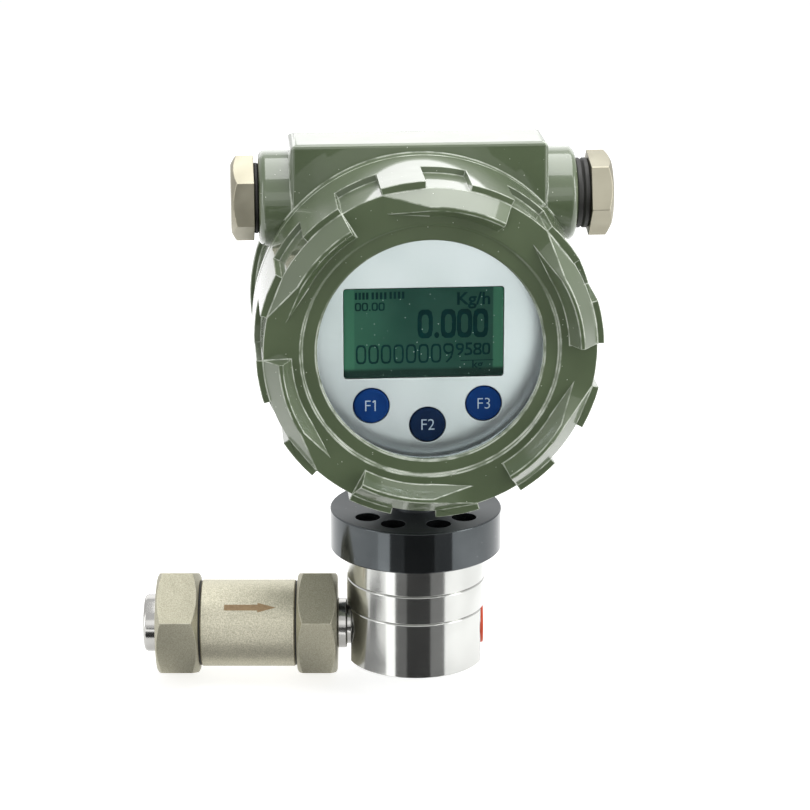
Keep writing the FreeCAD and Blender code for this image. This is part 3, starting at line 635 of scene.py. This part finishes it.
def square_figures(bm, size):
    """Pulls the round sides of each tall figure out towards a rectangle, as displays draw them."""
    left = set(bm.verts)
    while left:
        figure = linked_verts(left.pop(), left)
        across = [vert.co.x for vert in figure]
        up = [vert.co.y for vert in figure]
        half_wide = (max(across) - min(across)) / 2
        half_tall = (max(up) - min(up)) / 2
        if half_tall < TALL_FIGURE * size:
            continue
        middle = Vector((min(across) + half_wide, min(up) + half_tall))
        for vert in figure:
            share = Vector(((vert.co.x - middle.x) / half_wide, (vert.co.y - middle.y) / half_tall))
            turn = share.normalized()
            pull = (abs(turn.x) ** SQUARENESS + abs(turn.y) ** SQUARENESS) ** (-1 / SQUARENESS)
            vert.co.x = middle.x + share.x * pull * half_wide
            vert.co.y = middle.y + share.y * pull * half_tall


def lettering(name, words, size, place, finish, slot, body, narrow, weight, side="CENTER"):
    """Raised flat lettering on the head, its middle or end at a place in the head's own frame."""
    curve = bpy.data.curves.new(name, "FONT")
    curve.body = words
    curve.size = size
    curve.align_x = side
    curve.align_y = "CENTER"
    curve.offset = weight
    curve.extrude = MARK_DEPTH / 2
    curve.resolution_u = LETTER_STEPS
    drawn = bpy.data.objects.new(name + "_outline", curve)
    scene.collection.objects.link(drawn)
    depsgraph = bpy.context.evaluated_depsgraph_get()
    solid = bpy.data.meshes.new_from_object(drawn.evaluated_get(depsgraph))
    bpy.data.objects.remove(drawn)
    bm = bmesh.new()
    bm.from_mesh(solid)
    bpy.data.meshes.remove(solid)
    bmesh.ops.remove_doubles(bm, verts=bm.verts, dist=LETTER_MERGE)
    if words[0].isdigit():
        square_figures(bm, size)
    if words == "F1":
        flag = Matrix.Translation(FLAG_MIDDLE) @ Matrix.Rotation(math.radians(FLAG_TURN), 4, "Z")
        bmesh.ops.create_cube(bm, size=1, matrix=flag @ Matrix.Diagonal((*FLAG_SIZE, 1)))
    bmesh.ops.recalc_face_normals(bm, faces=bm.faces)
    bm.transform(HEAD @ Matrix.Translation(place) @ Matrix.Diagonal((narrow, 1, 1, 1)))
    return finish_piece(name, bm, slot, body, finish)


# Places on the display, measured from its upper left corner
DISPLAY_LEFT = -28.3
DISPLAY_TOP = 18.6
INK_LEVEL = LCD_FRONT + MARK_PROUD - MARK_DEPTH / 2
# Lines of the display: words, size, place along and down, width and weight of the letters, fixed side
DISPLAY_LINES = [
    ("display_flow", "0.000", 13.6, 48.9, 13.1, 0.8, 0.22, "RIGHT"),
    ("display_unit", "Kg/h", 6.0, 49.6, 4.2, 1.05, 0.13, "RIGHT"),
    ("display_total", "00000009", 9.8, 37.5, 23.2, 0.86, -0.12, "RIGHT"),
    ("display_total_end", "9580", 5.7, 49.6, 21.8, 1.04, 0.05, "RIGHT"),
    ("display_total_unit", "kg", 3.8, 47.0, 27.0, 1.1, 0.05, "RIGHT"),
    ("display_count", "00.00", 4.0, 3.8, 6.4, 1.15, 0.03, "LEFT"),
]
for name, words, size, along, down, narrow, weight, side in DISPLAY_LINES:
    place = (DISPLAY_LEFT + along, DISPLAY_TOP - down, INK_LEVEL)
    lettering(name, words, size, place, "display_ink", "display", ROOT, narrow, weight, side)

# Bars of the display: place along and down, width and height, then how many and how far apart
DISPLAY_BARS = [
    (4.3, 2.5, 0.8, 2.4, 4, 1.25), (9.9, 2.5, 0.8, 2.4, 4, 1.4), (15.9, 2.4, 0.8, 2.4, 4, 1.4),
    (45.0, 25.5, 11.2, 0.25, 1, 0.0),
]


def display_bars():
    bm = bmesh.new()
    for along, down, wide, tall, count, apart in DISPLAY_BARS:
        for index in range(count):
            middle = (DISPLAY_LEFT + along + index * apart, DISPLAY_TOP - down, INK_LEVEL)
            size = Matrix.Diagonal((wide, tall, MARK_DEPTH, 1))
            bmesh.ops.create_cube(bm, size=1, matrix=Matrix.Translation(middle) @ size)
    bm.transform(HEAD)
    bmesh.ops.recalc_face_normals(bm, faces=bm.faces)
    return finish_piece("display_bars", bm, "display", finish="display_ink")


display_bars()

KEY_CIRCLE = 29.2
KEY_SPREAD = 40.7
LABEL_SIZE = 5.6
LABEL_WIDTH = 0.95
LABEL_WEIGHT = -0.06
LABEL_LEVEL = KEY_FRONT + MARK_PROUD - MARK_DEPTH / 2
for number, turn in ((1, -KEY_SPREAD), (2, 0.0), (3, KEY_SPREAD)):
    angle = math.radians(turn - 90)
    place = (KEY_CIRCLE * math.cos(angle), KEY_CIRCLE * math.sin(angle), LABEL_LEVEL)
    key = "button_f%d" % number
    lettering(key + "_label", "F%d" % number, LABEL_SIZE, place, "label_white", "key_blue", key,
              LABEL_WIDTH, LABEL_WEIGHT)

TUBE_RADIUS = 15.75
ARROW_TAIL = 45.6
ARROW_TIP = 27.0
ARROW_HEAD = 6.6
ARROW_SHAFT_HALF = 1.1
ARROW_HEAD_HALF = 1.85
ARROW_LIFT = 41.3
# Cuts along the arrow, so that it can bend round the tube
ARROW_CUTS = (-1.4, -0.7, 0.0, 0.7, 1.4)


def flow_arrow():
    """Flat arrow wrapped round the strainer tube, pointing at the measuring body."""
    bm = bmesh.new()
    neck = ARROW_TIP + ARROW_HEAD
    outline = [(ARROW_TAIL, ARROW_SHAFT_HALF), (ARROW_TAIL, -ARROW_SHAFT_HALF),
               (neck, -ARROW_SHAFT_HALF), (neck, -ARROW_HEAD_HALF), (ARROW_TIP, 0),
               (neck, ARROW_HEAD_HALF), (neck, ARROW_SHAFT_HALF)]
    face = bm.faces.new([bm.verts.new((along, across, 0)) for along, across in outline])
    bmesh.ops.triangulate(bm, faces=[face])
    for across in ARROW_CUTS:
        bmesh.ops.bisect_plane(bm, geom=bm.verts[:] + bm.edges[:] + bm.faces[:],
                               plane_co=(0, across, 0), plane_no=(0, 1, 0))
    for vert in bm.verts:
        turn = math.radians(ARROW_LIFT) + vert.co.y / TUBE_RADIUS
        reach = TUBE_RADIUS + MARK_PROUD
        vert.co = Vector((reach * math.sin(turn), -reach * math.cos(turn), vert.co.x))
    bm.transform(STRAINER)
    bmesh.ops.recalc_face_normals(bm, faces=bm.faces)
    return finish_piece("flow_arrow", bm, "blasted_stainless", finish="arrow_tan")


flow_arrow()


# Studio; its lengths are in metres, apart from the floor's level and the cards' lift above it

FLOOR_LEVEL = -9.2
FLOOR_REACH = 6.0
FLOOR_SHADE = 0.72
FLOOR_GLOW = 0.68


def plainly_seen(tree):
    """One for rays from the camera, from shiny faces and through glass, otherwise zero."""
    path = add(tree, "ShaderNodeLightPath").outputs
    seen = maths(tree, "MAXIMUM", path["Is Camera Ray"], path["Is Glossy Ray"])
    return maths(tree, "MAXIMUM", seen, path["Is Transmission Ray"])


def floor_finish():
    """Pale floor: plain diffuse, with some light of its own towards the camera, glass and metal."""
    material = bpy.data.materials.new("floor")
    material.use_nodes = True
    tree = material.node_tree
    shader = tree.nodes["Principled BSDF"]
    shader.inputs["Base Color"].default_value = (FLOOR_SHADE, FLOOR_SHADE, FLOOR_SHADE, 1)
    shader.inputs["Roughness"].default_value = 0.9
    shader.inputs["Specular IOR Level"].default_value = 0.0
    glow = add(tree, "ShaderNodeEmission")
    tree.links.new(maths(tree, "MULTIPLY", plainly_seen(tree), FLOOR_GLOW), glow.inputs["Strength"])
    both = add(tree, "ShaderNodeAddShader")
    tree.links.new(shader.outputs[0], both.inputs[0])
    tree.links.new(glow.outputs[0], both.inputs[1])
    tree.links.new(both.outputs[0], tree.nodes["Material Output"].inputs["Surface"])
    return material


def stage_piece(name, bm, material):
    mesh = bpy.data.meshes.new(name)
    bm.to_mesh(mesh)
    bm.free()
    piece = bpy.data.objects.new(name, mesh)
    scene.collection.objects.link(piece)
    mesh.materials.append(material)
    return piece


def lay_floor():
    bm = bmesh.new()
    bmesh.ops.create_grid(bm, x_segments=1, y_segments=1, size=FLOOR_REACH)
    bm.transform(Matrix.Translation((0, 0, FLOOR_LEVEL * MM)))
    stage_piece("floor", bm, floor_finish())


# Cards on the floor, seen in reflections alone: outline, then how bright each one looks. The strainer
# and tube cards are painted shadow: darker floor where the strainer's shadow falls
CARDS = [
    ("bright_card", [(-0.0105, -0.0227), (-1.6, -1.3), (-1.021, -1.5), (-0.0074, -0.0239)], 2.2),
    ("left_card", [(-0.0074, -0.0239), (-1.021, -1.5), (-0.396, -1.5), (-0.0032, -0.0248)], 0.22),
    ("front_card", [(-0.0032, -0.0248), (-0.396, -1.5), (0.684, -1.5), (0.0053, -0.0244)], 0.04),
    ("right_card", [(0.0053, -0.0244), (0.684, -1.5), (1.722, -1.5), (0.0104, -0.0227)], 0.28),
    ("strainer_shadow_card", [(-0.125, -0.03), (-0.13, -0.08), (-0.088, -0.08), (-0.088, -0.03)], 0.06),
    ("tube_shadow_card", [(-0.088, -0.014), (-0.088, -0.045), (-0.03, -0.045), (-0.03, -0.014)], 0.38),
]
CARD_LIFT = 1.0
# Card that the display's plate alone sees: painted shadow of the head on the floor in front, seen in
# the plate's reflection
DISPLAY_SHADOW_CARD = [(-0.08, -0.12), (-0.02, -0.5), (0.04, -0.5), (0.1, -0.12)]
DISPLAY_SHADOW_CARD_LEVEL = 0.03
DISPLAY_SHADOW_CARD_LIFT = 2.0
# Rays that have been through the window and out again have met more glass faces than this
PLATE_BOUNCES = 3.5


def card(name, outline, level, lift, plate_only=False):
    """Grey sheet just above the floor, seen by the display's plate alone or by all but the plate."""
    material = bpy.data.materials.new(name)
    material.use_nodes = True
    tree = material.node_tree
    tree.nodes.remove(tree.nodes["Principled BSDF"])
    glow = add(tree, "ShaderNodeEmission")
    glow.inputs["Strength"].default_value = level
    depth = add(tree, "ShaderNodeLightPath").outputs["Transmission Depth"]
    hidden = maths(tree, "LESS_THAN" if plate_only else "GREATER_THAN", depth, PLATE_BOUNCES)
    clear = add(tree, "ShaderNodeBsdfTransparent")
    mix = add(tree, "ShaderNodeMixShader")
    tree.links.new(hidden, mix.inputs[0])
    tree.links.new(glow.outputs[0], mix.inputs[1])
    tree.links.new(clear.outputs[0], mix.inputs[2])
    tree.links.new(mix.outputs[0], tree.nodes["Material Output"].inputs["Surface"])
    bm = bmesh.new()
    bm.faces.new([bm.verts.new((x, y, (FLOOR_LEVEL + lift) * MM)) for x, y in outline])
    bmesh.ops.recalc_face_normals(bm, faces=bm.faces)
    sheet = stage_piece(name, bm, material)
    sheet.visible_camera = False
    sheet.visible_diffuse = False
    sheet.visible_shadow = False


def softbox(name, place, aim, wide, tall, power):
    data = bpy.data.lights.new(name, "AREA")
    data.shape = "RECTANGLE"
    data.size = wide
    data.size_y = tall
    data.energy = power
    lamp = bpy.data.objects.new(name, data)
    lamp.location = place
    lamp.rotation_euler = (Vector(aim) - Vector(place)).to_track_quat("-Z", "Y").to_euler()
    lamp.visible_camera = False
    scene.collection.objects.link(lamp)


# Softboxes: place, point aimed at, width, height and power
SOFTBOXES = [
    ("overhead_softbox", (0.2, 0.0, 1.0), (0.05, 0, 0.1), 1.1, 0.7, 10.0),
    ("left_softbox", (-0.9, -0.5, 0.35), (0, 0, 0.1), 0.3, 0.9, 2.4),
    ("right_softbox", (0.95, -0.35, 0.35), (0, 0, 0.1), 0.35, 0.9, 5.2),
    ("back_softbox", (0.0, 1.3, 0.75), (0, 0, 0.12), 1.8, 0.9, 4.6),
    ("front_softbox", (0.0, -1.6, 0.62), (0, 0, 0.08), 1.6, 0.6, 2.3),
]
# Level of the white surround as a light; rays that see it plainly find it full
AMBIENT = 0.32


def white_surround():
    world = bpy.data.worlds.new("surround")
    scene.world = world
    world.use_nodes = True
    tree = world.node_tree
    light = tree.nodes["Background"]
    light.inputs["Color"].default_value = (1, 1, 1, 1)
    beyond = maths(tree, "MULTIPLY", plainly_seen(tree), 1 - AMBIENT)
    tree.links.new(maths(tree, "ADD", beyond, AMBIENT), light.inputs["Strength"])


place_camera()
lay_floor()
for name, outline, level in CARDS:
    card(name, outline, level, CARD_LIFT)
card("display_shadow_card", DISPLAY_SHADOW_CARD, DISPLAY_SHADOW_CARD_LEVEL, DISPLAY_SHADOW_CARD_LIFT, plate_only=True)
for lamp in SOFTBOXES:
    softbox(*lamp)
white_surround()
